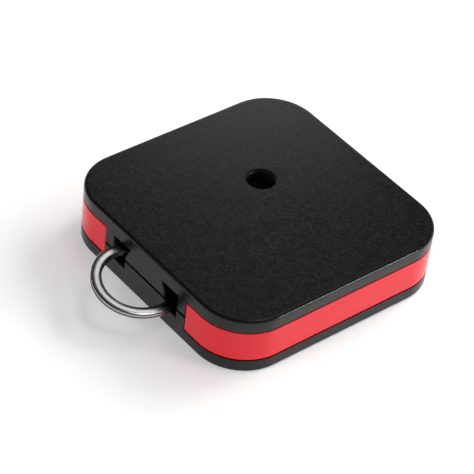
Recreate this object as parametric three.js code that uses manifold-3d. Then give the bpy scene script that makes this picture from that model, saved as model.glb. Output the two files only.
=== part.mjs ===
// A square Bluetooth tracker tag: two black half shells, a red band round their joint, a key ring
// threaded behind a lug in the side, and the board, coin cell, buzzer and push button inside.
// Millimetres, +Z up. The origin is the centre of the face that the tag lies on. +Z leaves through
// the face with the sound hole, and the ring hangs out of the -Y side.

import * as THREE from "three";
import { mergeVertices } from "three/addons/utils/BufferGeometryUtils.js";
import Module from "manifold-3d";

const wasm = await Module();
wasm.setup();

// ---------------------------------------------------------------- driving dimensions

const SIDE = 40; // the square housing
const HEIGHT = 9.4;
const CORNER = 7.6; // outline radius at the four corners
const EDGE = 0.5; // rounding of the outer edges
const SKIN = 1.2; // roof and floor thickness
const RIM = 2.1; // height of each black rim that traps the band
const BAND = 1.2; // band thickness
const SKIRT = 1.0; // wall behind the band
const FIT = 0.1; // gap between neighbouring pieces
const BAND_GAP = 0.2; // groove above and below the band
const PARTING = 4.45; // where the two half shells meet
const PARTING_GAP = 0.14;
const GROOVE_TALL = 0.36; // shadow groove along the joint, across the lug
const GROOVE_DEEP = 0.4;
const LAP = 1.1; // how far the lower shell's lip stands up inside the upper one

const HALF = SIDE / 2;
const SKIRT_OUT = BAND + FIT; // inset of the skirt's outer face
const SKIRT_IN = SKIRT_OUT + SKIRT; // inset of the skirt's inner face
const ROOF = HEIGHT - SKIN; // underside of the roof
const BAND_LOW = RIM + BAND_GAP;
const BAND_HIGH = HEIGHT - RIM - BAND_GAP;
const LOWER_WALL_TOP = PARTING - PARTING_GAP / 2;
const UPPER_WALL_LOW = PARTING + PARTING_GAP / 2;

const LUG_HALF = 9.2; // half width of the black stretch between the band's ends
const BRIDGE_HALF = 4.6; // half width of the post that the ring goes behind
const BRIDGE_TOP_HALF = 3.6; // the post narrows towards the lintel, where the ring can tilt up
const BRIDGE_SHOULDER = [5, 7]; // heights between which it narrows
const BRIDGE_EDGE = 0.3; // depth of the post at its two sides
const BRIDGE_DEPTH = 2.3; // depth of the post in the middle
const RING_OUTSIDE = 1.2; // how far the ring's centre stands off the housing
const RING_RADIUS = 6.65; // outer radius
const WIRE_WIDE = 1.58; // radial size of the ring's flattened wire
const WIRE_TALL = 0.5;
const WIRE_SQUARED = 0.6; // shape of the wire's section: 1 is an oval, near 0 a rectangle
const COIL_GAP = 0.06; // between the ring's two coils
const RING_ROLL = 9.2; // degrees, the -X side up
const RING_STEP_AT = 85; // degrees round the ring, where its wire steps from coil to coil
const RING_STEP = 40; // degrees that the step takes
const CHANNEL_RADIUS = 7.4; // the ring's room inside the housing
const CHANNEL_WALL = 1.0;
const SILL_TOP = 3.0; // lower edge of the two openings beside the post
const SILL_DEPTH = 1.3; // behind the sill the channel is as deep as the rim is high
const LINTEL_LOW = 7.0; // upper edge of the openings, under a lintel as deep as the sill
const RING_Y = -HALF - RING_OUTSIDE;
const RING_Z = 4.8;

const BUZZER = { x: -4, y: 3.5 }; // sound hole, buzzer and coin cell share this axis
const HOLE_RADIUS = 2.0;
const HOLE_CHAMFER = 0.35;
const PLATE_RADIUS = 10;
const PLATE_LOW = 7.08;
const PLATE_THICK = 0.2;
const CERAMIC_RADIUS = 7;
const CERAMIC_THICK = 0.22;
const TAPE_THICK = 0.12;
const SCREEN_THICK = 0.15;
const GLUE_GAP = 0.04; // either side of the plate, where the ceramic and the tape are stuck on
const SEAT_WIDTH = 1.0; // ledge that the buzzer's tape sticks to
const COLLAR_WALL = 0.9; // collar round the buzzer plate
const COLLAR_LOW = 6.9;
const SEAT_LOW = PLATE_LOW + PLATE_THICK + TAPE_THICK + FIT;
const TUBE_RADIUS = 3.9; // short tube that carries the sound screen
const TUBE_LOW = 7.8;
const LEAD_RADIUS = 0.25;

const CELL_RADIUS = 10;
const CELL_TALL = 3.2;
const CELL_LOW = 1.62;
const CAP_RADIUS = 8.9; // the cell's negative cap
const CAP_TALL = 0.22;
const CAP_DRAFT = 0.15; // how far the cap narrows upwards
const CELL_EDGE = 0.4; // chamfer round the can's closed end
const CRIMP = 0.3; // the can's open end, bent over the cap's seal
const CELL_GAP = 0.07; // above and below the cell, where its contacts touch it
const STRIP = 0.25; // sheet thickness of the cell's retainer
const RETAINER_HALF = 3; // half width
const RETAINER_ROOM = 0.25; // between the cell and each leg
const RETAINER_FOOT = 1.3; // length of the feet soldered to the board
const CONTACT_RADIUS = 4;

const BOARD_LOW = 5.1;
const BOARD_THICK = 0.8;
const BOARD_TOP = BOARD_LOW + BOARD_THICK;
const BOARD_HALF = 16.3;
const BOARD_FRONT = -11.5;
const BOARD_CORNER = 4.2; // radius of the two far corners
const PAD_GAP = 0.05; // between the board and what is soldered to it
const SCREWS = [
  { x: -14.2, y: -9.2 },
  { x: 14.2, y: -9.2 },
  { x: -13.9, y: 13.9 },
  { x: 13.9, y: 13.9 },
];
const BOSS_RADIUS = 1.7;
const PILOT_RADIUS = 0.8;
const SHANK_RADIUS = 0.7;
const HEAD_RADIUS = 1.35;
const HEAD_TALL = 0.8;
const HEAD_CHAMFER = 0.25;
const SCREW_POINT = [2.3, 2.5, 3.1]; // heights of the tip, of half thickness and of full thickness
const SCREW_SLOT = { wide: 0.3, long: 1.7, deep: 0.45 };

const BUTTON = { x: 12, y: 3.5 };
const BUTTON_RADIUS = 3.7;
const BUTTON_RECESS = 0.25;
const BUTTON_CHAMFER = 0.3;
const BUTTON_FLANGE = 4.7;
const FLANGE_TALL = 0.55;
const STEM_RADIUS = 1.4;
const STEM_TOP = 3.0;
const PLUNGER_RADIUS = 1.1;
const PLUNGER_TALL = 0.9;
const PLUNGER_ROOM = 0.4; // above the plunger, for its travel
const SWITCH_SIDE = 5.2;
const SWITCH_LOW = 3.55;

const HOOK_WIDE = 4;
const HOOK_THICK = 0.9;
const HOOK_TOP = 7.0;
const BARB = 0.35; // how far a hook's barb reaches into the upper skirt
const BARB_TALL = 0.7;
const HOOKS = [
  { turn: 0, along: -8 },
  { turn: 0, along: 8 },
  { turn: 90, along: -5 },
  { turn: -90, along: 5 },
];

const ARC = 10; // steps in each outline corner
const ROUND = 40; // sides of a large circle

// ---------------------------------------------------------------- materials

const plastic = (color, roughness) => new THREE.MeshStandardMaterial({ color, roughness });
const metal = (color, roughness) =>
  new THREE.MeshStandardMaterial({ color, roughness, metalness: 1 });

const BLACK_SHELL = plastic(0x1b1b1d, 0.45);
const BLACK_PART = plastic(0x151516, 0.5);
const RED_BAND = plastic(0xc8162a, 0.3);
const WHITE_CERAMIC = plastic(0xe9e4d8, 0.5);
const BOARD_GREEN = plastic(0x12502c, 0.4);
const STEEL = metal(0xc4c6c8, 0.18);
const NICKEL = metal(0xb8b9b6, 0.3);
const BRASS = metal(0xc9a14a, 0.35);
const TAPE = plastic(0xd8d2c0, 0.7);
const RED_SLEEVE = plastic(0xb01818, 0.5);

// ---------------------------------------------------------------- solids

// A closed three.js geometry as a manifold-3d solid.
function solid(geometry) {
  const bare = geometry.clone();
  bare.deleteAttribute("normal");
  bare.deleteAttribute("uv");
  const merged = mergeVertices(bare);
  return new wasm.Manifold(
    new wasm.Mesh({
      numProp: 3,
      vertProperties: merged.attributes.position.array,
      triVerts: new Uint32Array(merged.index.array),
    }),
  );
}

// A solid back as a named three.js mesh.
function mesh(name, shape, material) {
  const made = shape.getMesh();
  const geometry = new THREE.BufferGeometry();
  geometry.setAttribute("position", new THREE.BufferAttribute(made.vertProperties, made.numProp));
  geometry.setIndex(new THREE.BufferAttribute(made.triVerts, 1));
  geometry.computeVertexNormals();
  const result = new THREE.Mesh(geometry, material);
  result.name = name;
  return result;
}

function block(x0, x1, y0, y1, z0, z1) {
  const box = new THREE.BoxGeometry(x1 - x0, y1 - y0, z1 - z0);
  box.translate((x0 + x1) / 2, (y0 + y1) / 2, (z0 + z1) / 2);
  return solid(box);
}

// A block standing on z0, centred on a point.
function blockAt({ x, y }, wide, deep, z0, z1) {
  return block(x - wide / 2, x + wide / 2, y - deep / 2, y + deep / 2, z0, z1);
}

function prism(shape, z0, z1) {
  const options = { depth: z1 - z0, bevelEnabled: false, curveSegments: ARC };
  return solid(new THREE.ExtrudeGeometry(shape, options).translate(0, 0, z0));
}

// A body of revolution about an upright axis, from its [radius, z] profile.
function turned({ x, y }, profile, sides = ROUND) {
  const points = profile.map(([radius, z]) => new THREE.Vector2(radius, z));
  const lathe = new THREE.LatheGeometry(points, sides);
  return solid(lathe.rotateX(Math.PI / 2).translate(x, y, 0));
}

function disc(centre, radius, z0, z1, sides = ROUND) {
  return turned(centre, [[0, z0], [radius, z0], [radius, z1], [0, z1]], sides);
}

function annulus(centre, inner, outer, z0, z1) {
  return disc(centre, outer, z0, z1).subtract(disc(centre, inner, z0 - 1, z1 + 1));
}

// The housing's outline, moved in by an inset.
function outline(inset) {
  const half = HALF - inset;
  const radius = Math.max(CORNER - inset, 0.5);
  const flat = half - radius;
  const shape = new THREE.Shape();
  shape.absarc(flat, flat, radius, 0, Math.PI / 2);
  shape.absarc(-flat, flat, radius, Math.PI / 2, Math.PI);
  shape.absarc(-flat, -flat, radius, Math.PI, 1.5 * Math.PI);
  shape.absarc(flat, -flat, radius, 1.5 * Math.PI, 2 * Math.PI);
  shape.closePath();
  return shape;
}

// The whole housing as one block, with its outer edges rounded.
function housingBlock() {
  const options = {
    depth: HEIGHT - 2 * EDGE,
    bevelThickness: EDGE,
    bevelSize: EDGE,
    bevelSegments: 3,
    curveSegments: ARC,
  };
  return solid(new THREE.ExtrudeGeometry(outline(EDGE), options).translate(0, 0, EDGE));
}

// A closed wall that follows the outline between two insets.
function wall(outer, inner, z0, z1) {
  return prism(outline(outer), z0, z1).subtract(prism(outline(inner), z0 - 1, z1 + 1));
}

// ---------------------------------------------------------------- lug

const LUG_CENTRE = { x: 0, y: RING_Y };

// The post that the ring goes behind: flat outside, and curved at the back for the ring to slide on.
function bridge(z0, z1) {
  const sag = BRIDGE_DEPTH - BRIDGE_EDGE;
  const radius = (BRIDGE_HALF ** 2 + sag ** 2) / (2 * sag);
  const reach = Math.asin(BRIDGE_HALF / radius);
  const shape = new THREE.Shape();
  shape.moveTo(-BRIDGE_HALF, -HALF);
  shape.lineTo(BRIDGE_HALF, -HALF);
  const middle = -HALF + BRIDGE_DEPTH - radius;
  shape.absarc(0, middle, radius, Math.PI / 2 - reach, Math.PI / 2 + reach);
  shape.closePath();
  return prism(shape, z0, z1).intersect(bridgeFront());
}

// The post's outline seen from outside, as a bar along Y.
function bridgeFront() {
  const [low, high] = BRIDGE_SHOULDER;
  const right = [[BRIDGE_HALF, 0], [BRIDGE_HALF, low], [BRIDGE_TOP_HALF, high], [BRIDGE_TOP_HALF, HEIGHT]];
  const left = right.map(([x, z]) => [-x, z]).reverse();
  const shape = new THREE.Shape([...right, ...left].map(([x, z]) => new THREE.Vector2(x, z)));
  const bar = new THREE.ExtrudeGeometry(shape, { depth: SIDE, bevelEnabled: false });
  return solid(bar.rotateX(Math.PI / 2));
}

// The wall above the two openings.
function lintel() {
  const [front, behind] = [-HALF, -HALF + SILL_DEPTH];
  return block(-CHANNEL_RADIUS, CHANNEL_RADIUS, front, behind, LINTEL_LOW, ROOF + FIT);
}

// The solid stretch of side wall between the band's ends, with the wall round the ring's channel.
function lugBlock(z0, z1) {
  const front = block(-LUG_HALF, LUG_HALF, -HALF, -HALF + SKIRT_IN, z0, z1);
  const round = disc(LUG_CENTRE, CHANNEL_RADIUS + CHANNEL_WALL, z0, z1);
  return front.add(round.intersect(block(-HALF, HALF, -HALF, HALF, z0 - 1, z1 + 1)));
}

// ---------------------------------------------------------------- shells

const JOINT_HALF = (SKIRT_OUT + SKIRT_IN) / 2; // the two shells' walls lap at this inset
const LAP_TOP = LOWER_WALL_TOP + LAP;
const HOOK_FACE = HALF - SKIRT_IN; // inner face of the skirt, where a hook stands

// A profile in the Y-Z plane made into a bar that is centred on x = 0.
function barAlongX(points, wide) {
  const shape = new THREE.Shape(points.map(([y, z]) => new THREE.Vector2(y, z)));
  const bar = new THREE.ExtrudeGeometry(shape, { depth: wide, bevelEnabled: false });
  const [x, y, z] = [[1, 0, 0], [0, 1, 0], [0, 0, 1]].map((axis) => new THREE.Vector3(...axis));
  bar.applyMatrix4(new THREE.Matrix4().makeBasis(y, z, x));
  return solid(bar.translate(-wide / 2, 0, 0));
}

// Something made at the middle of the +Y side, moved along that side and then turned to its own.
function onSide(shape, { turn, along }) {
  return shape.translate([along, 0, 0]).rotate([0, 0, turn]);
}

function hook() {
  const outside = HOOK_FACE - FIT;
  const inside = outside - HOOK_THICK;
  const barbLow = HOOK_TOP - BARB_TALL;
  return barAlongX(
    [
      [inside, SKIN - FIT],
      [HOOK_FACE + FIT, SKIN - FIT],
      [HOOK_FACE + FIT, LOWER_WALL_TOP - FIT],
      [outside, LOWER_WALL_TOP - FIT],
      [outside, barbLow],
      [outside + BARB, barbLow + FIT],
      [outside + BARB, barbLow + 2 * FIT],
      [outside, HOOK_TOP],
      [inside, HOOK_TOP],
    ],
    HOOK_WIDE,
  );
}

function hookWindow() {
  const half = HOOK_WIDE / 2 + FIT;
  const low = HOOK_TOP - BARB_TALL - FIT;
  return block(-half, half, HOOK_FACE - 1, HOOK_FACE + BARB, low, HOOK_TOP);
}

function shadowGroove() {
  const [low, high] = [PARTING - GROOVE_TALL / 2, PARTING + GROOVE_TALL / 2];
  return block(-LUG_HALF - 1, LUG_HALF + 1, -HALF - 1, -HALF + GROOVE_DEEP, low, high);
}

// The ring's channel, which is deeper behind the sill.
function channel(top) {
  const behind = block(-SIDE, SIDE, -HALF + SILL_DEPTH, SIDE, 0, HEIGHT);
  const deep = disc(LUG_CENTRE, CHANNEL_RADIUS, RIM, top).intersect(behind);
  return disc(LUG_CENTRE, CHANNEL_RADIUS, SILL_TOP, top).add(deep);
}

// Seat and collar of the buzzer, and the short tube behind the sound hole.
function buzzerSeat() {
  const inside = PLATE_RADIUS + 2 * FIT;
  const seat = annulus(BUZZER, PLATE_RADIUS - SEAT_WIDTH, inside + FIT, SEAT_LOW, ROOF + FIT);
  const collar = annulus(BUZZER, inside, inside + COLLAR_WALL, COLLAR_LOW, ROOF + FIT);
  return seat.add(collar).add(disc(BUZZER, TUBE_RADIUS, TUBE_LOW, ROOF + FIT, 28));
}

function soundHole() {
  return turned(BUZZER, [
    [0, TUBE_LOW - 1],
    [HOLE_RADIUS, TUBE_LOW - 1],
    [HOLE_RADIUS, HEIGHT - HOLE_CHAMFER],
    [HOLE_RADIUS + 2 * HOLE_CHAMFER, HEIGHT + HOLE_CHAMFER],
    [0, HEIGHT + HOLE_CHAMFER],
  ]);
}

function topShell() {
  const rim = housingBlock().intersect(block(-SIDE, SIDE, -SIDE, SIDE, HEIGHT - RIM, HEIGHT + 1));
  const core = prism(outline(SKIRT_OUT), UPPER_WALL_LOW, HEIGHT - EDGE);
  const hollow = prism(outline(SKIRT_IN), 0, ROOF);
  let shell = rim.add(core).subtract(hollow).add(lugBlock(UPPER_WALL_LOW, HEIGHT - EDGE));
  const lap = wall(JOINT_HALF - FIT / 2, SKIRT_IN + FIT, 0, LAP_TOP + FIT);
  shell = shell.subtract(lap.subtract(lugBlock(-1, HEIGHT)));
  shell = shell.subtract(channel(ROOF)).add(bridge(UPPER_WALL_LOW, HEIGHT - EDGE));
  shell = shell.add(lintel()).subtract(shadowGroove());
  for (const place of HOOKS) shell = shell.subtract(onSide(hookWindow(), place));
  return shell.add(buzzerSeat()).subtract(soundHole());
}

function bottomShell() {
  const rim = housingBlock().intersect(block(-SIDE, SIDE, -SIDE, SIDE, -1, RIM));
  const core = prism(outline(SKIRT_OUT), EDGE, LOWER_WALL_TOP);
  const hollow = prism(outline(SKIRT_IN), SKIN, HEIGHT);
  let shell = rim.add(core).subtract(hollow).add(lugBlock(EDGE, LOWER_WALL_TOP));
  const lip = wall(JOINT_HALF + FIT / 2, SKIRT_IN, LOWER_WALL_TOP - FIT, LAP_TOP);
  const lugRoom = block(-LUG_HALF - 2 * FIT, LUG_HALF + 2 * FIT, -SIDE, 0, -1, HEIGHT);
  shell = shell.add(lip.subtract(lugRoom));
  shell = shell.subtract(channel(HEIGHT)).add(bridge(EDGE, LOWER_WALL_TOP)).subtract(shadowGroove());
  for (const place of HOOKS) shell = shell.add(onSide(hook(), place));
  for (const at of SCREWS) {
    shell = shell.add(disc(at, BOSS_RADIUS, EDGE, BOARD_LOW - FIT, 20));
    shell = shell.subtract(disc(at, PILOT_RADIUS, SKIN + FIT, BOARD_LOW, 12));
  }
  return shell.subtract(disc(BUTTON, BUTTON_RADIUS + 2 * FIT, -1, SKIN + FIT));
}

// The band is a strip bent to a C, and its ends butt against the lug.
function sideBand() {
  const strip = wall(0, BAND, BAND_LOW, BAND_HIGH);
  const reach = LUG_HALF + FIT;
  return strip.subtract(block(-reach, reach, -HALF - 1, -HALF + 2 * BAND, 0, HEIGHT));
}

// ---------------------------------------------------------------- ring

// A wire wound twice round: the upper coil, a step down, and the lower coil.
class SplitRingPath extends THREE.Curve {
  getPoint(t, target = new THREE.Vector3()) {
    const start = RING_STEP / 2;
    const degrees = start + t * (720 - RING_STEP);
    const share = THREE.MathUtils.smoothstep(degrees, 360 - start, 360 + start);
    const angle = THREE.MathUtils.degToRad(RING_STEP_AT + degrees);
    const radius = RING_RADIUS - WIRE_WIDE / 2;
    const height = (WIRE_TALL + COIL_GAP) * (0.5 - share);
    return target.set(radius * Math.cos(angle), radius * Math.sin(angle), height);
  }
}

// The wire's section: an oval flattened towards a rectangle.
function wireSection(sides = 12) {
  const points = [];
  for (let i = 0; i < sides; i++) {
    const a = (2 * Math.PI * (i + 0.5)) / sides;
    const squared = (v) => Math.sign(v) * Math.abs(v) ** WIRE_SQUARED;
    points.push(
      new THREE.Vector2((squared(Math.cos(a)) * WIRE_TALL) / 2, (squared(Math.sin(a)) * WIRE_WIDE) / 2),
    );
  }
  return new THREE.Shape(points);
}

function splitRing() {
  const options = { steps: 96, bevelEnabled: false, extrudePath: new SplitRingPath() };
  const geometry = new THREE.ExtrudeGeometry(wireSection(), options);
  geometry.rotateY(THREE.MathUtils.degToRad(RING_ROLL));
  return solid(geometry.translate(0, RING_Y, RING_Z));
}

// ---------------------------------------------------------------- push button and switch

function pushButton() {
  const flangeLow = SKIN + FIT;
  const flangeTop = flangeLow + FLANGE_TALL;
  return turned(BUTTON, [
    [0, BUTTON_RECESS],
    [BUTTON_RADIUS - BUTTON_CHAMFER, BUTTON_RECESS],
    [BUTTON_RADIUS, BUTTON_RECESS + BUTTON_CHAMFER],
    [BUTTON_RADIUS, flangeLow],
    [BUTTON_FLANGE, flangeLow],
    [BUTTON_FLANGE, flangeTop],
    [STEM_RADIUS, flangeTop],
    [STEM_RADIUS, STEM_TOP],
    [0, STEM_TOP],
  ]);
}

const PLUNGER_LOW = STEM_TOP + PAD_GAP;

function switchBody() {
  const top = BOARD_LOW - PAD_GAP;
  const body = blockAt(BUTTON, SWITCH_SIDE, SWITCH_SIDE, SWITCH_LOW, top);
  const wellTop = PLUNGER_LOW + PLUNGER_TALL + PLUNGER_ROOM;
  const well = disc(BUTTON, PLUNGER_RADIUS + FIT, SWITCH_LOW - 1, wellTop, 20);
  return body.subtract(well);
}

function switchPlunger() {
  return disc(BUTTON, PLUNGER_RADIUS, PLUNGER_LOW, PLUNGER_LOW + PLUNGER_TALL, 20);
}

// ---------------------------------------------------------------- coin cell and its contacts

function coinCell() {
  const top = CELL_LOW + CELL_TALL;
  const shoulder = top - CAP_TALL;
  return turned(BUZZER, [
    [0, CELL_LOW],
    [CELL_RADIUS - CELL_EDGE, CELL_LOW],
    [CELL_RADIUS, CELL_LOW + CELL_EDGE],
    [CELL_RADIUS, shoulder - CRIMP],
    [CELL_RADIUS - CRIMP, shoulder],
    [CAP_RADIUS, shoulder],
    [CAP_RADIUS - CAP_DRAFT, top],
    [0, top],
  ]);
}

// A stamped strap under the cell, with a leg on each side up to the board.
function cellRetainer() {
  const inner = CELL_RADIUS + RETAINER_ROOM;
  const outer = inner + STRIP;
  const foot = outer + RETAINER_FOOT;
  const low = CELL_LOW - CELL_GAP - STRIP;
  const top = BOARD_LOW - PAD_GAP;
  const { x, y } = BUZZER;
  const [y0, y1] = [y - RETAINER_HALF, y + RETAINER_HALF];
  let strap = block(x - outer, x + outer, y0, y1, low, low + STRIP);
  for (const side of [-1, 1]) {
    const near = x + side * inner;
    const far = x + side * outer;
    const tip = x + side * foot;
    strap = strap.add(block(Math.min(near, far), Math.max(near, far), y0, y1, low, top));
    strap = strap.add(block(Math.min(near, tip), Math.max(near, tip), y0, y1, top - STRIP, top));
  }
  return strap;
}

function cellContact() {
  return disc(BUZZER, CONTACT_RADIUS, CELL_LOW + CELL_TALL + CELL_GAP, BOARD_LOW - PAD_GAP, 24);
}

// ---------------------------------------------------------------- board

function mainBoard() {
  const flat = BOARD_HALF - BOARD_CORNER;
  const shape = new THREE.Shape();
  shape.moveTo(-BOARD_HALF, BOARD_FRONT);
  shape.lineTo(BOARD_HALF, BOARD_FRONT);
  shape.absarc(flat, flat, BOARD_CORNER, 0, Math.PI / 2);
  shape.absarc(-flat, flat, BOARD_CORNER, Math.PI / 2, Math.PI);
  shape.closePath();
  let board = prism(shape, BOARD_LOW, BOARD_TOP);
  for (const at of SCREWS) board = board.subtract(disc(at, SHANK_RADIUS + 2 * FIT, 0, HEIGHT, 16));
  return board;
}

function boardScrew(at) {
  const low = BOARD_TOP + PAD_GAP;
  const top = low + HEAD_TALL;
  const [tip, halfThick, fullThick] = SCREW_POINT;
  const body = turned(
    at,
    [
      [0, tip],
      [SHANK_RADIUS / 2, halfThick],
      [SHANK_RADIUS, fullThick],
      [SHANK_RADIUS, low],
      [HEAD_RADIUS, low],
      [HEAD_RADIUS, top - HEAD_CHAMFER],
      [HEAD_RADIUS - HEAD_CHAMFER, top],
      [0, top],
    ],
    20,
  );
  const { wide, long, deep } = SCREW_SLOT;
  const cross = blockAt(at, long, wide, top - deep, top + 1);
  return body.subtract(cross.add(blockAt(at, wide, long, top - deep, top + 1)));
}

// Chips and other small parts on the board's upper face: [name, centre, size, material].
const BOARD_PARTS = [
  ["radio_chip", { x: 11, y: 8.6 }, [5, 5, 0.85], BLACK_PART],
  ["crystal", { x: 8.6, y: 13.4 }, [3.2, 2.5, 0.7], NICKEL],
  ["chip_antenna", { x: 14.9, y: 1.4 }, [2, 7, 0.9], WHITE_CERAMIC],
  ["boost_inductor", { x: 8.6, y: -7.4 }, [3, 3, 1.0], BLACK_PART],
  ["buzzer_driver", { x: 3.6, y: -9.2 }, [2.9, 1.5, 0.95], BLACK_PART],
  ["capacitor_1", { x: 11, y: 4.2 }, [1.6, 0.8, 0.8], WHITE_CERAMIC],
  ["capacitor_2", { x: 11.2, y: -4.4 }, [1.6, 0.8, 0.8], WHITE_CERAMIC],
  ["capacitor_3", { x: 11.2, y: -1.2 }, [1.6, 0.8, 0.8], WHITE_CERAMIC],
];

function boardPart(centre, [wide, deep, tall]) {
  const low = BOARD_TOP + PAD_GAP;
  return blockAt(centre, wide, deep, low, low + tall);
}

// ---------------------------------------------------------------- buzzer

function piezoPlate() {
  return disc(BUZZER, PLATE_RADIUS, PLATE_LOW, PLATE_LOW + PLATE_THICK);
}

function piezoCeramic() {
  const top = PLATE_LOW - GLUE_GAP;
  return disc(BUZZER, CERAMIC_RADIUS, top - CERAMIC_THICK, top);
}

function tapeRing() {
  const low = PLATE_LOW + PLATE_THICK + GLUE_GAP;
  return annulus(BUZZER, PLATE_RADIUS - SEAT_WIDTH + FIT, PLATE_RADIUS - FIT, low, low + TAPE_THICK);
}

function soundScreen() {
  return disc(BUZZER, TUBE_RADIUS - FIT, TUBE_LOW - PAD_GAP - SCREEN_THICK, TUBE_LOW - PAD_GAP, 28);
}

// An insulated lead from the buzzer down to a pad on the board.
function lead(points) {
  const sides = 8;
  const corners = [];
  for (let i = 0; i < sides; i++) {
    const a = (2 * Math.PI * i) / sides;
    corners.push(new THREE.Vector2(LEAD_RADIUS * Math.cos(a), LEAD_RADIUS * Math.sin(a)));
  }
  const path = new THREE.CatmullRomCurve3(points.map((p) => new THREE.Vector3(...p)));
  const options = { steps: 22, bevelEnabled: false, extrudePath: path };
  return solid(new THREE.ExtrudeGeometry(new THREE.Shape(corners), options));
}

const SIGNAL_ROUTE = [
  [-1.5, -1.0, 6.5],
  [-0.6, -3.4, 6.4],
  [0.4, -6.0, 6.4],
  [1.2, -7.2, 6.35],
  [1.8, -7.9, 6.2],
];
const GROUND_ROUTE = [
  [-7.4, -5.0, 6.75],
  [-6.9, -6.6, 6.5],
  [-5.6, -8.2, 6.4],
  [-3.6, -8.9, 6.35],
  [-2.4, -9.1, 6.2],
];

// ---------------------------------------------------------------- assembly

const tag = new THREE.Group();
tag.add(
  mesh("top_shell", topShell(), BLACK_SHELL),
  mesh("bottom_shell", bottomShell(), BLACK_SHELL),
  mesh("side_band", sideBand(), RED_BAND),
  mesh("split_ring", splitRing(), STEEL),
  mesh("push_button", pushButton(), BLACK_PART),
  mesh("switch_body", switchBody(), BLACK_PART),
  mesh("switch_plunger", switchPlunger(), RED_SLEEVE),
  mesh("coin_cell", coinCell(), NICKEL),
  mesh("cell_retainer", cellRetainer(), NICKEL),
  mesh("cell_contact", cellContact(), BRASS),
  mesh("main_board", mainBoard(), BOARD_GREEN),
  mesh("piezo_plate", piezoPlate(), BRASS),
  mesh("piezo_ceramic", piezoCeramic(), WHITE_CERAMIC),
  mesh("piezo_tape_ring", tapeRing(), TAPE),
  mesh("sound_screen", soundScreen(), BLACK_PART),
  mesh("piezo_lead_signal", lead(SIGNAL_ROUTE), RED_SLEEVE),
  mesh("piezo_lead_ground", lead(GROUND_ROUTE), BLACK_PART),
);
SCREWS.forEach((at, i) => tag.add(mesh(`board_screw_${i + 1}`, boardScrew(at), STEEL)));
for (const [name, centre, size, material] of BOARD_PARTS) {
  tag.add(mesh(name, boardPart(centre, size), material));
}

export default tag;
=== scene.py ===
"""Looks of the square tracker tag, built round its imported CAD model. Lengths are in millimetres
until a piece is settled into the frame, which is in metres."""

import math

import bpy
from mathutils import Matrix, Vector


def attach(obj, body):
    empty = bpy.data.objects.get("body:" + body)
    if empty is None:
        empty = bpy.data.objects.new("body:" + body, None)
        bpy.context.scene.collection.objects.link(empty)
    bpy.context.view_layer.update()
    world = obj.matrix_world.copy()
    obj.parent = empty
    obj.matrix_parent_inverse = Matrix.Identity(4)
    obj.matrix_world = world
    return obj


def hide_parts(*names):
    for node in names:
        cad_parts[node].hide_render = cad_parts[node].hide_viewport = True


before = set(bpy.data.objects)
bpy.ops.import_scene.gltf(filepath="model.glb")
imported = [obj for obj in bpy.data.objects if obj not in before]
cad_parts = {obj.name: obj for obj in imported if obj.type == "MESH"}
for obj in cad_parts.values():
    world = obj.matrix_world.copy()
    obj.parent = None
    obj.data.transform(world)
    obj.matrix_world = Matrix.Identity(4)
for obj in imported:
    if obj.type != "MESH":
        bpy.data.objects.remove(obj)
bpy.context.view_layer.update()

MM = 0.001

# ------------------------------------------------------------------ dimensions, as in the CAD

# The housing's outside, and its walls.
HALF = 20.0
HEIGHT = 9.4
CORNER = 7.6
LEAST_CORNER = 0.5
EDGE = 0.5
SKIN = 1.2
RIM = 2.1
BAND = 1.2
FIT = 0.1
BAND_GAP = 0.2
SKIRT_WALL = 1.0
SKIRT_OUT = BAND + FIT
SKIRT_IN = SKIRT_OUT + SKIRT_WALL
ROOF = HEIGHT - SKIN
PARTING = 4.45
LOWER_WALL_TOP = 4.38
UPPER_WALL_LOW = 4.52
GROOVE_TALL = 0.36
GROOVE_DEEP = 0.4
LAP_TALL = 1.1
LAP_TOP = LOWER_WALL_TOP + LAP_TALL
LAP_INSET = (SKIRT_OUT + SKIRT_IN) / 2

# The lug, the post in it, and the ring behind the post.
LUG_HALF = 9.2
BRIDGE_HALF = 4.6
BRIDGE_TOP_HALF = 3.6
BRIDGE_SHOULDER = (5.0, 7.0)
BRIDGE_EDGE = 0.3
BRIDGE_DEPTH = 2.3
CHANNEL_RADIUS = 7.4
CHANNEL_WALL = 1.0
SILL_TOP = 3.0
SILL_DEPTH = 1.3
LINTEL_LOW = 7.0
RING_RADIUS = 6.65
RING_OUTSIDE = 1.2
RING_CENTRE = (0.0, -HALF - RING_OUTSIDE, 4.8)
OPENING_EDGE = math.sqrt(CHANNEL_RADIUS**2 - RING_OUTSIDE**2)
WIRE_WIDE = 1.58
WIRE_TALL = 0.5
COIL_GAP = 0.06
RING_ROLL = 9.2
RING_STEP_AT = 85.0
RING_STEP = 40.0

# The buzzer's seat and the sound hole over it.
BUZZER = (-4.0, 3.5)
HOLE_RADIUS = 2.0
HOLE_CHAMFER = 0.35
TUBE_RADIUS = 3.9
TUBE_LOW = 7.8
SEAT_INNER = 9.0
SEAT_LOW = 7.5
COLLAR_INNER = 10.2
COLLAR_OUTER = 11.1
COLLAR_LOW = 6.9

# The button in the back.
BUTTON = (12.0, 3.5)
BUTTON_RADIUS = 3.7
BUTTON_RECESS = 0.25
BUTTON_FLANGE = 4.7
FLANGE_LOW = SKIN + FIT
FLANGE_TOP = FLANGE_LOW + 0.55
STEM_RADIUS = 1.4
STEM_TOP = 3.0
STEM_CHAMFER = 0.1
DISH_DEEP = 0.22
DISH_RIM = 0.55

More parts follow.
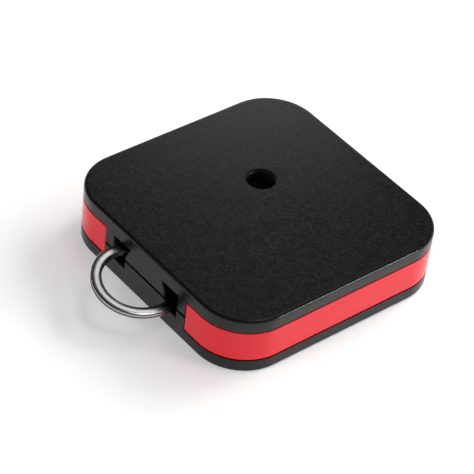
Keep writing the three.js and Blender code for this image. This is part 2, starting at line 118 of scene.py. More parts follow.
# The screws' bosses, and the hooks that hold the two shells together.
SCREWS = [(-14.2, -9.2), (14.2, -9.2), (-13.9, 13.9), (13.9, 13.9)]
BOSS_RADIUS = 1.7
BOSS_TOP = 5.0
PILOT_RADIUS = 0.8
HOOKS = [(0, -8.0), (0, 8.0), (90, -5.0), (-90, 5.0)]
HOOK_WIDE = 4.0
HOOK_THICK = 0.9
HOOK_TOP = 7.0
BARB = 0.35
BARB_TALL = 0.7

SOFT_EDGE = 0.12  # the small rounding that moulding leaves on an outer edge
RIM_LIP = 0.2  # the same on the rims' edges beside the band, which makes a wider groove there
MID_ROUNDING = 0.29  # how far in the middle of a small rounding lies, as a share of its radius
SPARE = 1.0  # how far a cutting body reaches past what it cuts

# [outward, down from the cover] along the sound hole's bevel, whose two edges are rounded
HOLE_MOUTH = [
    (0.0, HOLE_CHAMFER + 0.06),
    (0.03, HOLE_CHAMFER - 0.02),
    (HOLE_CHAMFER - 0.05, 0.07),
    (HOLE_CHAMFER, 0.02),
    (HOLE_CHAMFER + 0.1, -0.02),
]
# [outward, up from the back] along the rounded mouth of the button's hole
BUTTON_MOUTH = [(0.4, -SPARE), (0.25, -0.02), (0.2, 0.02), (0.03, 0.2), (0.0, 0.28)]
# [inward, up from the cap's face] round the cap's edge
BUTTON_ROUNDING = [(0.45, 0.0), (0.3, 0.0), (0.12, 0.06), (0.02, 0.18), (0.0, 0.3)]
BAND_ENDS = (1.0, 0.3)  # how far the band's last two sections are drawn in, in SOFT_EDGEs
BAND_END_STEP = 0.05  # from the band's end to its second section
TIP_SIZES = (0.7, 0.92)  # the wire's last two sections, against its full size

ARC = 24  # steps in an outline corner
BACK_ARC = 24  # steps in the curve of the post's back
EDGE_STEPS = 8  # steps round the outer edge
DISH_STEPS = 10  # steps from the middle of the dish to its rim
RING_STEPS = 300  # steps along the ring's wire
WIRE_SIDES = 20  # sides of the ring's wire
ROUND = 72  # sides of a round feature
FINE_ROUND = 96  # sides of one that shows
BOSS_SIDES = 32
PILOT_SIDES = 24

# ------------------------------------------------------------------ mesh code


def mesh_object(name, vertices, faces):
    data = bpy.data.meshes.new(name)
    data.from_pydata([tuple(v) for v in vertices], [], faces)
    data.validate()
    piece = bpy.data.objects.new(name, data)
    bpy.context.scene.collection.objects.link(piece)
    return piece


def loft(name, rings, closed=False):
    """Skins rings of equal length. A closed loft joins its last ring to its first one, and an
    open one is capped at both ends."""
    count = len(rings[0])
    vertices = [p for ring in rings for p in ring]
    faces = []
    for i in range(len(rings) if closed else len(rings) - 1):
        a, b = i * count, ((i + 1) % len(rings)) * count
        for j in range(count):
            k = (j + 1) % count
            faces.append((a + j, a + k, b + k, b + j))
    if not closed:
        faces.append(tuple(reversed(range(count))))
        faces.append(tuple(range(len(vertices) - count, len(vertices))))
    return mesh_object(name, vertices, faces)


def outline(inset, z):
    """The housing's rounded square, moved in by an inset, anticlockwise from above."""
    half = HALF - inset
    radius = max(CORNER - inset, LEAST_CORNER)
    flat = half - radius
    points = []
    for quarter, (sx, sy) in enumerate([(1, 1), (-1, 1), (-1, -1), (1, -1)]):
        for i in range(ARC + 1):
            a = math.pi / 2 * (quarter + i / ARC)
            points.append((sx * flat + radius * math.cos(a), sy * flat + radius * math.sin(a), z))
    return points


def prism(inset, z0, z1):
    return loft("prism", [outline(inset, z0), outline(inset, z1)])


def circle(centre, radius, z, sides):
    turn = 2 * math.pi / sides
    x, y = centre
    return [(x + radius * math.cos(i * turn), y + radius * math.sin(i * turn), z) for i in range(sides)]


def turned(centre, profile, name="turned", sides=ROUND, closed=False):
    """A body of revolution about an upright axis. Its [radius, height] profile rises, or runs
    anticlockwise when it closes."""
    return loft(name, [circle(centre, r, z, sides) for r, z in profile], closed)


def disc(centre, radius, z0, z1, sides=ROUND):
    return turned(centre, [(radius, z0), (radius, z1)], sides=sides)


def block(x0, x1, y0, y1, z0, z1):
    def face(z):
        return [(x0, y0, z), (x1, y0, z), (x1, y1, z), (x0, y1, z)]

    return loft("block", [face(z0), face(z1)])


def bar_along_x(points, wide):
    """A profile in the Y-Z plane, anticlockwise with Y to the right, as a bar centred on x = 0."""
    return loft("bar", [[(x, y, z) for y, z in points] for x in (-wide / 2, wide / 2)])


def settle(piece):
    """Replaces a piece's mesh with what its modifiers make of it."""
    graph = bpy.context.evaluated_depsgraph_get()
    made = bpy.data.meshes.new_from_object(piece.evaluated_get(graph))
    piece.modifiers.clear()
    old = piece.data
    piece.data = made
    bpy.data.meshes.remove(old)


def combine(piece, tool, operation):
    modifier = piece.modifiers.new("combine", "BOOLEAN")
    modifier.object = tool
    modifier.operation = operation
    modifier.solver = "EXACT"
    settle(piece)
    bpy.data.objects.remove(tool)
    return piece


def add(piece, tool):
    return combine(piece, tool, "UNION")


def cut(piece, tool):
    return combine(piece, tool, "DIFFERENCE")


def keep(piece, tool):
    return combine(piece, tool, "INTERSECT")


def on_side(piece, turn, along):
    """Moves what was made at the middle of the +Y side along it, and turns it to its own side."""
    piece.data.transform(Matrix.Rotation(math.radians(turn), 4, "Z") @ Matrix.Translation((along, 0, 0)))
    return piece


def finish_piece(piece, name, body, material, replaced, smooth=35.0):
    """Scales a piece to metres, shades it, and hands it to its body in place of a CAD node."""
    piece.name = name
    piece.data.name = name
    piece.data.transform(Matrix.Scale(MM, 4))
    piece.data.materials.clear()
    piece.data.materials.append(material)
    shade(piece, smooth)
    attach(piece, body)
    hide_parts(replaced)


def shade(piece, smooth):
    """Smooth shading, with edges sharper than the given angle left hard."""
    piece.data.shade_smooth()
    piece.data.set_sharp_from_angle(angle=math.radians(smooth))
    modifier = piece.modifiers.new("normals", "WEIGHTED_NORMAL")
    modifier.keep_sharp = True
    modifier.weight = 100


# ------------------------------------------------------------------ shells


def rounded_edge():
    """[inset, drop] pairs round the outer edge, from the side up to the face."""
    pairs = []
    for i in range(EDGE_STEPS + 1):
        a = math.pi / 2 * i / EDGE_STEPS
        pairs.append((EDGE * (1 - math.cos(a)), EDGE * (1 - math.sin(a))))
    return pairs


def soft_step():
    """[inset, rise] pairs round the small edge of a rim beside the band."""
    middle = RIM_LIP * MID_ROUNDING
    return [(RIM_LIP, 0.0), (middle, middle), (0.0, RIM_LIP)]


def lug_block(z0, z1):
    """The solid in which the lug's channel is cut: a bar along the front, and a round block behind."""
    front = block(-LUG_HALF, LUG_HALF, -HALF, -HALF + SKIRT_IN, z0, z1)
    wall = disc(RING_CENTRE[:2], CHANNEL_RADIUS + CHANNEL_WALL, z0, z1)
    wall = keep(wall, block(-HALF, HALF, -HALF + EDGE, HALF, z0 - SPARE, z1 + SPARE))
    return add(front, wall)


def bridge(z0, z1):
    """The post behind which the ring runs, curved at the back."""
    sag = BRIDGE_DEPTH - BRIDGE_EDGE
    radius = (BRIDGE_HALF**2 + sag**2) / (2 * sag)
    reach = math.asin(BRIDGE_HALF / radius)
    middle = -HALF + BRIDGE_DEPTH - radius
    points = [(-BRIDGE_HALF, -HALF), (BRIDGE_HALF, -HALF)]
    for i in range(BACK_ARC + 1):
        a = math.pi / 2 - reach + 2 * reach * i / BACK_ARC
        points.append((radius * math.cos(a), middle + radius * math.sin(a)))
    post = loft("bridge", [[(x, y, z) for x, y in points] for z in (z0, z1)])
    return keep(post, bridge_front())


def bridge_front():
    """The post's outline seen from outside, as a bar along Y."""
    low, high = BRIDGE_SHOULDER
    right = [(BRIDGE_HALF, 0), (BRIDGE_HALF, low), (BRIDGE_TOP_HALF, high), (BRIDGE_TOP_HALF, HEIGHT)]
    points = right + [(-x, z) for x, z in reversed(right)]
    return loft("bridge_front", [[(x, y, z) for x, z in points] for y in (0, -2 * HALF)])


def lintel():
    """The wall above the two openings."""
    front, behind = -HALF, -HALF + SILL_DEPTH
    return block(-CHANNEL_RADIUS, CHANNEL_RADIUS, front, behind, LINTEL_LOW, ROOF + FIT)


def mouth(side):
    """A shallow flare that breaks the outer edges of one opening."""

    def face(y, grow):
        points = [
            (BRIDGE_HALF - grow, SILL_TOP - grow),
            (OPENING_EDGE + grow, SILL_TOP - grow),
            (OPENING_EDGE + grow, LINTEL_LOW + grow),
            (BRIDGE_TOP_HALF - grow, LINTEL_LOW + grow),
            (BRIDGE_HALF - grow, BRIDGE_SHOULDER[0]),
        ]
        return [(side * x, y, z) for x, z in points][::side]

    return loft("mouth", [face(-HALF + SOFT_EDGE, 0.0), face(-HALF - SOFT_EDGE, 2 * SOFT_EDGE)])


def shadow_groove():
    """The groove along the joint of the two shells, across the lug, with softened lips."""
    y, half, soft = -HALF, GROOVE_TALL / 2, SOFT_EDGE / 2
    lower = [(y - soft, -half - 2 * soft), (y + soft, -half), (y + GROOVE_DEEP, -half)]
    upper = [(yy, -z) for yy, z in reversed(lower)]
    profile = [(yy, PARTING + z) for yy, z in lower + upper]
    return bar_along_x(profile, 2 * (LUG_HALF + SPARE))


def channel(top):
    """The ring's room, which is deeper behind the sill."""
    deep = disc(RING_CENTRE[:2], CHANNEL_RADIUS, RIM, top, sides=FINE_ROUND)
    deep = keep(deep, block(-2 * HALF, 2 * HALF, -HALF + SILL_DEPTH, HALF, 0, HEIGHT))
    return add(disc(RING_CENTRE[:2], CHANNEL_RADIUS, SILL_TOP, top, sides=FINE_ROUND), deep)


def soften_lug(shell):
    """Cuts the groove along the joint, and breaks the edges of the two openings."""
    shell = cut(shell, shadow_groove())
    for side in (-1, 1):
        shell = cut(shell, mouth(side))
    return shell


def hook():
    """A snap hook that rises from the back shell, with its barb facing outwards."""
    face = HALF - SKIRT_IN
    outside, inside = face - FIT, face - FIT - HOOK_THICK
    barb = HOOK_TOP - BARB_TALL
    return bar_along_x(
        [
            (inside, SKIN - FIT),
            (face + FIT, SKIN - FIT),
            (face + FIT, LOWER_WALL_TOP - FIT),
            (outside, LOWER_WALL_TOP - FIT),
            (outside, barb),
            (outside + BARB, barb + FIT),
            (outside + BARB, barb + 2 * FIT),
            (outside, HOOK_TOP),
            (inside, HOOK_TOP),
        ],
        HOOK_WIDE,
    )


def hook_window():
    """The pocket in the cover's skirt that a hook's barb snaps into."""
    half = HOOK_WIDE / 2 + FIT
    face = HALF - SKIRT_IN
    return block(-half, half, face - SPARE, face + BARB, HOOK_TOP - BARB_TALL - FIT, HOOK_TOP)


def top_shell():
    rings = [outline(SKIRT_OUT, UPPER_WALL_LOW), outline(SKIRT_OUT, HEIGHT - RIM)]
    rings += [outline(inset, HEIGHT - RIM + rise) for inset, rise in soft_step()]
    rings += [outline(inset, HEIGHT - drop) for inset, drop in rounded_edge()]
    shell = loft("top_shell", rings)
    shell = cut(shell, prism(SKIRT_IN, 0, ROOF))
    shell = add(shell, lug_block(UPPER_WALL_LOW, HEIGHT - EDGE))
    lap = cut(prism(LAP_INSET - FIT / 2, 0, LAP_TOP + FIT), prism(SKIRT_IN + FIT, -SPARE, HEIGHT))
    shell = cut(shell, cut(lap, lug_block(-SPARE, HEIGHT)))
    shell = add(cut(shell, channel(ROOF)), bridge(UPPER_WALL_LOW, HEIGHT - EDGE))
    shell = soften_lug(add(shell, lintel()))
    for turn, along in HOOKS:
        shell = cut(shell, on_side(hook_window(), turn, along))
    shell = add(shell, buzzer_seat())
    shell = add(shell, disc(BUZZER, TUBE_RADIUS, TUBE_LOW, ROOF + FIT))
    return cut(shell, sound_hole())


def buzzer_seat():
    """The ledge that the buzzer sticks to, inside its collar."""
    profile = [
        (SEAT_INNER, SEAT_LOW),
        (COLLAR_INNER, SEAT_LOW),
        (COLLAR_INNER, COLLAR_LOW),
        (COLLAR_OUTER, COLLAR_LOW),
        (COLLAR_OUTER, ROOF + FIT),
        (SEAT_INNER, ROOF + FIT),
    ]
    return turned(BUZZER, profile, closed=True)


def sound_hole():
    """The bore with its bevelled mouth."""
    profile = [(HOLE_RADIUS, TUBE_LOW - SPARE)]
    profile += [(HOLE_RADIUS + out, HEIGHT - down) for out, down in HOLE_MOUTH]
    profile.append((profile[-1][0], HEIGHT + SPARE))
    return turned(BUZZER, profile, sides=FINE_ROUND)


def bottom_shell():
    rings = [outline(inset, drop) for inset, drop in reversed(rounded_edge())]
    rings += [outline(inset, RIM - rise) for inset, rise in reversed(soft_step())]
    rings += [outline(SKIRT_OUT, RIM), outline(SKIRT_OUT, LOWER_WALL_TOP)]
    shell = loft("bottom_shell", rings)
    shell = cut(shell, prism(SKIRT_IN, SKIN, HEIGHT))
    shell = add(shell, lug_block(EDGE, LOWER_WALL_TOP))
    lip = cut(prism(LAP_INSET + FIT / 2, LOWER_WALL_TOP - FIT, LAP_TOP), prism(SKIRT_IN, 0, HEIGHT))
    room = LUG_HALF + 2 * FIT
    shell = add(shell, cut(lip, block(-room, room, -2 * HALF, 0, -SPARE, HEIGHT)))
    shell = add(cut(shell, channel(HEIGHT)), bridge(EDGE, LOWER_WALL_TOP))
    shell = soften_lug(shell)
    for turn, along in HOOKS:
        shell = add(shell, on_side(hook(), turn, along))
    for at in SCREWS:
        shell = add(shell, disc(at, BOSS_RADIUS, EDGE, BOSS_TOP, sides=BOSS_SIDES))
        shell = cut(shell, disc(at, PILOT_RADIUS, SKIN + FIT, HEIGHT, sides=PILOT_SIDES))
    return cut(shell, button_hole())


def button_hole():
    """The hole for the button's cap, which flares at the outer face of the back."""
    radius = BUTTON_RADIUS + 2 * FIT
    profile = [(radius + out, up) for out, up in BUTTON_MOUTH]
    profile.append((radius, SKIN + FIT))
    return turned(BUTTON, profile, sides=FINE_ROUND)


# ------------------------------------------------------------------ band, ring and button


def side_band():
    """A strip bent to a C, whose edges and ends are softened."""
    reach = LUG_HALF + FIT
    low, high = RIM + BAND_GAP, HEIGHT - RIM - BAND_GAP
    soft, middle = SOFT_EDGE, SOFT_EDGE * MID_ROUNDING

    def section(shrink):
        return [
            (soft + shrink, low),
            (BAND, low),
            (BAND, high),
            (soft + shrink, high),
            (middle + shrink, high - middle),
            (shrink, high - soft),
            (shrink, low + soft),
            (middle + shrink, low + middle),
        ]

    loops = {}

    def point(inset, z, index):
        if (inset, z) not in loops:
            loops[(inset, z)] = band_path(inset, z, reach)
        return loops[(inset, z)][index]

    count = len(band_path(0.0, low, reach))
    rings = []
    for i in range(count):
        ends = min(i, count - 1 - i)
        shrink = soft * BAND_ENDS[ends] if ends < len(BAND_ENDS) else 0.0
        rings.append([point(inset, z, i) for inset, z in section(shrink)])
    return loft("side_band", rings)


def band_path(inset, z, reach):
    """Points from one end of the band round to the other, clockwise from above."""
    points = outline(inset, z)
    per_corner = ARC + 1
    corners = [points[i * per_corner : (i + 1) * per_corner] for i in range(4)]
    front = -HALF + inset
    run = [(reach + step, front, z) for step in (0.0, BAND_END_STEP, SOFT_EDGE)]
    for corner in (3, 0, 1, 2):
        run += corners[corner]
    run += [(-x, y, z) for x, y, z in reversed(run[:3])]
    return run


def wire_section():
    """[outward, upward] points of the ring's flattened oval wire."""
    points = []
    for i in range(WIRE_SIDES):
        a = 2 * math.pi * (i + 0.5) / WIRE_SIDES
        points.append((math.cos(a) * WIRE_WIDE / 2, math.sin(a) * WIRE_TALL / 2))
    return points


def split_ring():
    """A wire wound twice round: the upper coil, a step down, and the lower coil."""
    start = RING_STEP / 2
    middle = RING_RADIUS - WIRE_WIDE / 2
    section = wire_section()
    rings = []
    for i in range(RING_STEPS + 1):
        degrees = start + i / RING_STEPS * (2 * 360 - RING_STEP)
        share = min(max((degrees - 360 + start) / RING_STEP, 0.0), 1.0)
        share = share * share * (3 - 2 * share)
        height = (WIRE_TALL + COIL_GAP) * (0.5 - share)
        a = math.radians(RING_STEP_AT + degrees)
        tip = min(i, RING_STEPS - i)
        size = TIP_SIZES[tip] if tip < len(TIP_SIZES) else 1.0
        ring = []
        for out, up in section:
            radius = middle + out * size
            ring.append((radius * math.cos(a), radius * math.sin(a), height + up * size))
        rings.append(ring)
    piece = loft("split_ring", rings[::-1])
    turn = Matrix.Rotation(math.radians(RING_ROLL), 4, "Y")
    piece.data.transform(Matrix.Translation(RING_CENTRE) @ turn)
    return piece


def push_button():
    """A round cap with a shallow dish for the fingertip, its retaining flange and its stem."""
    dish_radius = BUTTON_RADIUS - DISH_RIM
    profile = []
    for i in range(1, DISH_STEPS + 1):
        r = dish_radius * i / DISH_STEPS
        profile.append((r, BUTTON_RECESS + DISH_DEEP * (1 - (r / dish_radius) ** 2)))
    profile += [(BUTTON_RADIUS - inward, BUTTON_RECESS + up) for inward, up in BUTTON_ROUNDING]
    profile += [
        (BUTTON_RADIUS, FLANGE_LOW),
        (BUTTON_FLANGE, FLANGE_LOW),
        (BUTTON_FLANGE, FLANGE_TOP),
        (STEM_RADIUS, FLANGE_TOP),
        (STEM_RADIUS, STEM_TOP - STEM_CHAMFER),
        (STEM_RADIUS - STEM_CHAMFER, STEM_TOP),
    ]
    return turned(BUTTON, profile, "push_button", sides=FINE_ROUND)


# ------------------------------------------------------------------ materials


class Look:
    """A procedural material: one Principled shader and the nodes that feed it."""

    def __init__(self, name, **values):
        self.material = bpy.data.materials.new(name)
        self.material.use_nodes = True
        self.nodes = self.material.node_tree.nodes
        self.links = self.material.node_tree.links
        self.shader = self.nodes["Principled BSDF"]
        for socket, value in values.items():
            self.shader.inputs[socket.replace("_", " ")].default_value = value
        self.place = self.nodes.new("ShaderNodeTexCoord").outputs["Object"]

    def node(self, kind, inputs=None, **settings):
        made = self.nodes.new(kind)
        for key, value in settings.items():
            setattr(made, key, value)
        for socket, value in (inputs or {}).items():
            if isinstance(value, bpy.types.NodeSocket):
                self.links.new(value, made.inputs[socket])
            else:
                made.inputs[socket].default_value = value
        return made

    def noise(self, size_mm, detail=2.0, rough=0.5, stretch=None):
        """Noise whose features measure size_mm."""
        place = self.place
        if stretch:
            place = self.node("ShaderNodeMapping", {"Vector": place, "Scale": stretch}).outputs["Vector"]
        inputs = {"Vector": place, "Scale": 1 / (size_mm * MM), "Detail": detail, "Roughness": rough}
        return self.node("ShaderNodeTexNoise", inputs).outputs["Fac"]

    def cells(self, size_mm):
        inputs = {"Vector": self.place, "Scale": 1 / (size_mm * MM)}
        return self.node("ShaderNodeTexVoronoi", inputs).outputs["Distance"]

    def ramp(self, factor, low, high, start, end):
        """Goes from low to high as the factor goes from start to end, and is level outside them."""
        inputs = {"Value": factor, "From Min": start, "From Max": end, "To Min": low, "To Max": high}
        return self.node("ShaderNodeMapRange", inputs).outputs["Result"]

    def mix(self, factor, dark, light):
        """Goes from one colour to the other as the factor goes from 0 to 1."""
        made = self.node("ShaderNodeMix", {0: factor}, data_type="RGBA")
        for socket, colour in ((6, dark), (7, light)):
            if isinstance(colour, bpy.types.NodeSocket):
                self.links.new(colour, made.inputs[socket])
            else:
                made.inputs[socket].default_value = (*colour, 1.0)
        return made.outputs[2]

    def maths(self, operation, a, b):
        return self.node("ShaderNodeMath", {0: a, 1: b}, operation=operation).outputs["Value"]

    def bump(self, height, depth_mm):
        inputs = {"Height": height, "Distance": depth_mm * MM, "Strength": 1.0}
        return self.node("ShaderNodeBump", inputs).outputs["Normal"]

    def edges(self, radius_mm):
        """1 where the surface turns within a radius, 0 on a flat face."""
        inputs = {"Radius": radius_mm * MM}
        soft = self.node("ShaderNodeBevel", inputs, samples=6).outputs["Normal"]
        hard = self.node("ShaderNodeNewGeometry").outputs["Normal"]
        made = self.node("ShaderNodeVectorMath", {0: soft, 1: hard}, operation="DOT_PRODUCT")
        return self.ramp(made.outputs["Value"], low=1.0, high=0.0, start=0.9, end=0.995)

    def feed(self, **sockets):
        for socket, output in sockets.items():
            self.links.new(output, self.shader.inputs[socket.replace("_", " ")])
        return self.material


def moulded_black(name, tone, grain_mm, depth_mm, rough):
    """Satin black moulding with a spark-eroded grain, slow changes of tone and edges worn paler."""
    dark, light, worn_tone = [tuple(share * c for c in tone) for share in (0.8, 1.25, 2.2)]
    look = Look(name, IOR=1.5, Specular_IOR_Level=0.32)
    cloud = look.noise(9.0, detail=3.0)
    edges = look.edges(0.35)
    patches = look.ramp(look.noise(2.5, detail=4.0), low=0.1, high=1.0, start=0.35, end=0.65)
    colour = look.mix(cloud, dark, light)
    colour = look.mix(look.maths("MULTIPLY", edges, patches), colour, worn_tone)
    grain = look.noise(grain_mm, detail=2.0, rough=0.6)
    pits = look.cells(grain_mm * 1.6)
    cloud = look.noise(grain_mm * 3, detail=3.0)
    roughness = look.ramp(cloud, low=rough - 0.06, high=rough + 0.08, start=0.3, end=0.7)
    normal = look.bump(look.maths("ADD", grain, pits), depth_mm)
    return look.feed(Base_Color=colour, Roughness=roughness, Normal=normal)


def gloss_red():
    """Glossy red plastic with faint scuffs that run round the band."""
    look = Look("gloss_red", IOR=1.42)
    cloud = look.noise(6.0, detail=3.0)
    colour = look.mix(cloud, (0.66, 0.006, 0.016), (0.76, 0.009, 0.022))
    colour = look.mix(look.edges(0.2), colour, (0.80, 0.03, 0.05))
    scuff = look.noise(0.5, detail=4.0, rough=0.6, stretch=(1.0, 1.0, 6.0))
    roughness = look.ramp(scuff, low=0.13, high=0.24, start=0.4, end=0.7)
    normal = look.bump(look.noise(1.1, detail=2.0), 0.004)
    return look.feed(Base_Color=colour, Roughness=roughness, Normal=normal)


def bright_nickel():
    """Bright nickel plate with fine scratches."""
    look = Look("bright_nickel", Metallic=1.0)
    cloud = look.noise(1.6, detail=4.0)
    colour = look.mix(cloud, (0.55, 0.55, 0.54), (0.76, 0.76, 0.75))
    scratch = look.noise(0.12, detail=5.0, rough=0.65, stretch=(1.0, 1.0, 4.0))
    roughness = look.ramp(scratch, low=0.18, high=0.3, start=0.35, end=0.75)
    normal = look.bump(scratch, 0.0015)
    return look.feed(Base_Color=colour, Roughness=roughness, Normal=normal)


def plain_metal(name, dark, light, rough, stretch):
    """Rolled or plated metal with a directional grain."""
    look = Look(name, Metallic=1.0)
    grain = look.noise(0.3, detail=5.0, rough=0.6, stretch=stretch)
    colour = look.mix(grain, dark, light)
    cloud = look.noise(1.5, detail=3.0)
    roughness = look.ramp(cloud, low=rough - 0.08, high=rough + 0.1, start=0.3, end=0.7)
    return look.feed(Base_Color=colour, Roughness=roughness, Normal=look.bump(grain, 0.004))


def plain_solid(name, dark, light, rough, grain_mm, depth_mm):
    """Plastic, ceramic, tape or sleeving with a fine grain."""
    look = Look(name)
    grain = look.noise(grain_mm, detail=4.0, rough=0.6)
    colour = look.mix(look.noise(grain_mm * 8, detail=3.0), dark, light)
    roughness = look.ramp(grain, low=rough - 0.08, high=rough + 0.08, start=0.3, end=0.7)
    return look.feed(Base_Color=colour, Roughness=roughness, Normal=look.bump(grain, depth_mm))


def circuit_board():
    """Green solder mask, with copper lanes that show through it as a paler green relief."""
    look = Look("circuit_board", Coat_Weight=0.3, Coat_Roughness=0.15)
    inputs = {"Vector": look.place, "Scale": 1 / (2.2 * MM)}
    squares = look.node("ShaderNodeTexVoronoi", inputs, distance="CHEBYCHEV", feature="F1")
    steps = look.maths("MULTIPLY", squares.outputs["Distance"], 5.0)
    wave = look.maths("PINGPONG", steps, 1.0)
    copper = look.ramp(wave, low=0.0, high=1.0, start=0.55, end=0.62)
    colour = look.mix(look.noise(4.0, detail=3.0), (0.008, 0.085, 0.03), (0.014, 0.12, 0.042))
    colour = look.mix(copper, colour, (0.03, 0.2, 0.07))
    roughness = look.ramp(look.noise(0.4, detail=3.0), low=0.25, high=0.42, start=0.3, end=0.7)
    return look.feed(Base_Color=colour, Roughness=roughness, Normal=look.bump(copper, 0.03))


def woven_screen_with_shade():
    """Black woven mesh, coloured with almost no reflection: partly the mesh's own black, partly painted
    shade for the floor of the deep sound hole.
    """
    look = Look("woven_screen_with_shade", Specular_IOR_Level=0.1)
    threads = []
    for direction in ("X", "Y"):
        inputs = {"Vector": look.place, "Scale": 1 / (0.9 * MM), "Distortion": 0.2}
        threads.append(look.node("ShaderNodeTexWave", inputs, bands_direction=direction).outputs["Fac"])
    weave = look.maths("MULTIPLY", *threads)
    # painted shade: the weave's two colours are pushed almost to zero, so the screen shows the shade at
    # the bottom of the sound hole on top of its own black
    colour = look.mix(weave, (0.001, 0.001, 0.001), (0.005, 0.005, 0.005))
    roughness = look.ramp(look.noise(0.1, detail=2.0), low=0.7, high=0.9, start=0.3, end=0.7)
    return look.feed(Base_Color=colour, Roughness=roughness, Normal=look.bump(weave, 0.05))


# ------------------------------------------------------------------ the tag

CARRIED_SMOOTH = 30.0
WIRE_SMOOTH = 60.0

SHELL = moulded_black("shell_black", (0.005, 0.005, 0.0052), 0.17, 0.008, 0.25)
CAP = moulded_black("button_black", (0.014, 0.014, 0.015), 0.1, 0.008, 0.36)
finish_piece(top_shell(), "cover_shell", "housing", SHELL, "top_shell")
finish_piece(bottom_shell(), "back_shell", "housing", SHELL, "bottom_shell")
finish_piece(side_band(), "colour_band", "housing", gloss_red(), "side_band")
NICKEL = bright_nickel()
finish_piece(split_ring(), "key_split_ring", "ring", NICKEL, "split_ring", WIRE_SMOOTH)
finish_piece(push_button(), "press_cap", "button", CAP, "push_button")

EPOXY = plain_solid("epoxy_black", (0.012, 0.012, 0.013), (0.022, 0.022, 0.024), 0.5, 0.12, 0.01)
STEEL = plain_metal("rolled_steel", (0.48, 0.48, 0.47), (0.66, 0.66, 0.65), 0.3, (1.0, 8.0, 1.0))
ZINC = plain_metal("zinc_plate", (0.5, 0.51, 0.53), (0.7, 0.71, 0.72), 0.28, (1.0, 1.0, 1.0))
BRASS = plain_metal("rolled_brass", (0.6, 0.42, 0.14), (0.78, 0.58, 0.24), 0.32, (8.0, 1.0, 1.0))
CERAMIC = plain_solid("fired_ceramic", (0.68, 0.65, 0.57), (0.82, 0.79, 0.71), 0.55, 0.1, 0.008)
TAPE = plain_solid("adhesive_tape", (0.66, 0.61, 0.48), (0.78, 0.73, 0.6), 0.7, 0.3, 0.02)
RED_SLEEVE = plain_solid("red_sleeve", (0.36, 0.01, 0.01), (0.5, 0.02, 0.018), 0.4, 0.3, 0.005)
BLACK_SLEEVE = plain_solid("black_sleeve", (0.012, 0.012, 0.012), (0.025, 0.025, 0.025), 0.42, 0.3, 0.005)

# The pieces that keep their CAD mesh, with their looks.
CAPACITORS = 3
CARRIED = {
    "main_board": circuit_board(),
    "sound_screen": woven_screen_with_shade(),
    "coin_cell": STEEL,
    "cell_retainer": STEEL,
    "crystal": STEEL,
    "cell_contact": BRASS,
    "piezo_plate": BRASS,
    "piezo_ceramic": CERAMIC,
    "chip_antenna": CERAMIC,
    "piezo_tape_ring": TAPE,
    "piezo_lead_signal": RED_SLEEVE,
    "piezo_lead_ground": BLACK_SLEEVE,
    "switch_plunger": RED_SLEEVE,
    "switch_body": EPOXY,
    "radio_chip": EPOXY,
    "boost_inductor": EPOXY,
    "buzzer_driver": EPOXY,
}
for i in range(1, len(SCREWS) + 1):
    CARRIED[f"board_screw_{i}"] = ZINC
for i in range(1, CAPACITORS + 1):
    CARRIED[f"capacitor_{i}"] = CERAMIC
for node, look in CARRIED.items():
    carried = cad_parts[node]
    carried.data.materials.clear()
    carried.data.materials.append(look)
    shade(carried, CARRIED_SMOOTH)

# ------------------------------------------------------------------ stage, light and camera

FLOOR_HALF = 3.0  # lengths here are in metres, as in the frame
FLOOR_DROP = 0.00002  # keeps the floor just clear of the back
FLOOR_GLOW = 0.3
FLOOR_CORNERS = [(-1, -1), (1, -1), (1, 1), (-1, 1)]

# The studio's wall: its brightness falls from To Min to To Max between two heights of view.
WALL = {"From Min": 0.1, "From Max": 0.16, "To Min": 0.9, "To Max": 0.05}

# Name, azimuth and elevation in degrees, distance and width, watts, whether gloss mirrors it.
# The three large ones aren't mirrored, so that the cover stays black in low views.
LAMPS = [
    ("right", 137.0, 30.0, 0.7, 0.5, 1.8, False),
    ("back", 180.0, 30.0, 0.7, 0.5, 4.4, False),
    ("left", 0.0, 30.0, 0.7, 0.5, 2.0, False),
    ("edge", 124.0, 9.0, 0.7, 0.12, 1.4, True),
    ("above", 137.0, 74.0, 0.7, 0.2, 0.3, True),
    ("glow", 229.0, 24.0, 0.22, 0.1, 0.042, True),
    ("ring", 206.0, 62.0, 0.7, 0.35, 0.32, True),
]

VIEW_AZIMUTH = 46.8
VIEW_ELEVATION = 40.7
VIEW_ROLL = 7.2
VIEW_DISTANCE = 0.31
VIEW_TARGET = (0.0, -0.0035, 0.0045)
LENS_MM = 165.0
SENSOR_MM = 36.0
VIEW_NEAR = 0.01
VIEW_FAR = 10.0


def towards(azimuth, elevation):
    """The direction from the tag to a lamp or camera. Azimuth 0 is in front of the lug, 90 at +X."""
    a, e = math.radians(azimuth), math.radians(elevation)
    return Vector((math.sin(a) * math.cos(e), -math.cos(a) * math.cos(e), math.sin(e)))


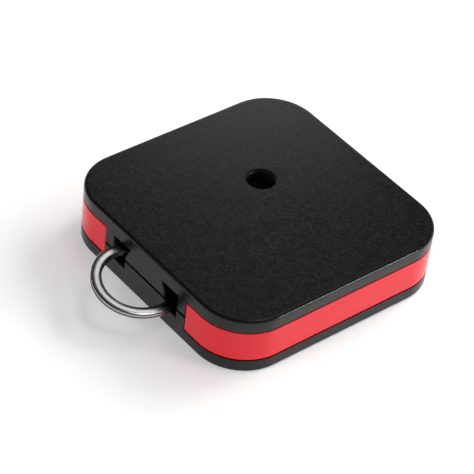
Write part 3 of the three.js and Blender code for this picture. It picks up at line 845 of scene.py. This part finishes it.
def floor():
    corners = [(x * FLOOR_HALF, y * FLOOR_HALF, 0) for x, y in FLOOR_CORNERS]
    piece = mesh_object("floor", corners, [(0, 1, 2, 3)])
    white = (1.0, 1.0, 1.0, 1.0)
    look = Look("pale_floor", Roughness=0.6, Emission_Color=white, Emission_Strength=FLOOR_GLOW)
    colour = look.mix(look.noise(40.0, detail=3.0), (0.86, 0.86, 0.86), (0.9, 0.9, 0.9))
    piece.data.materials.append(look.feed(Base_Color=colour))
    piece.location.z = -FLOOR_DROP


def soft_light(name, azimuth, elevation, distance, width, power, mirrored):
    data = bpy.data.lights.new(name, "AREA")
    data.shape = "DISK"
    data.size = width
    data.energy = power
    lamp = bpy.data.objects.new(name, data)
    lamp.visible_camera = False
    lamp.visible_glossy = mirrored
    bpy.context.scene.collection.objects.link(lamp)
    back = towards(azimuth, elevation)
    lamp.location = back * distance
    lamp.rotation_euler = back.to_track_quat("Z", "Y").to_euler()


def studio():
    """A white wall that is bright low down and dim above, and the lamps."""
    scene = bpy.context.scene
    world = bpy.data.worlds.new("studio")
    world.use_nodes = True
    nodes, links = world.node_tree.nodes, world.node_tree.links
    background = nodes["Background"]
    background.inputs["Color"].default_value = (1.0, 1.0, 1.0, 1.0)
    axes = nodes.new("ShaderNodeSeparateXYZ")
    links.new(nodes.new("ShaderNodeTexCoord").outputs["Generated"], axes.inputs["Vector"])
    rise = nodes.new("ShaderNodeMapRange")
    links.new(axes.outputs["Z"], rise.inputs["Value"])
    for socket, value in WALL.items():
        rise.inputs[socket].default_value = value
    links.new(rise.outputs["Result"], background.inputs["Strength"])
    scene.world = world
    scene.view_settings.view_transform = "Standard"
    for lamp in LAMPS:
        soft_light(*lamp)


def camera():
    back = towards(VIEW_AZIMUTH, VIEW_ELEVATION)
    data = bpy.data.cameras.new("camera")
    data.lens = LENS_MM
    data.sensor_width = SENSOR_MM
    data.clip_start = VIEW_NEAR
    data.clip_end = VIEW_FAR
    eye = bpy.data.objects.new("camera", data)
    bpy.context.scene.collection.objects.link(eye)
    roll = Matrix.Rotation(math.radians(VIEW_ROLL), 4, "Z")
    turn = (-back).to_track_quat("-Z", "Y").to_matrix().to_4x4() @ roll
    eye.matrix_world = Matrix.Translation(Vector(VIEW_TARGET) + back * VIEW_DISTANCE) @ turn
    bpy.context.scene.camera = eye


floor()
studio()
camera()

bpy.context.view_layer.update()
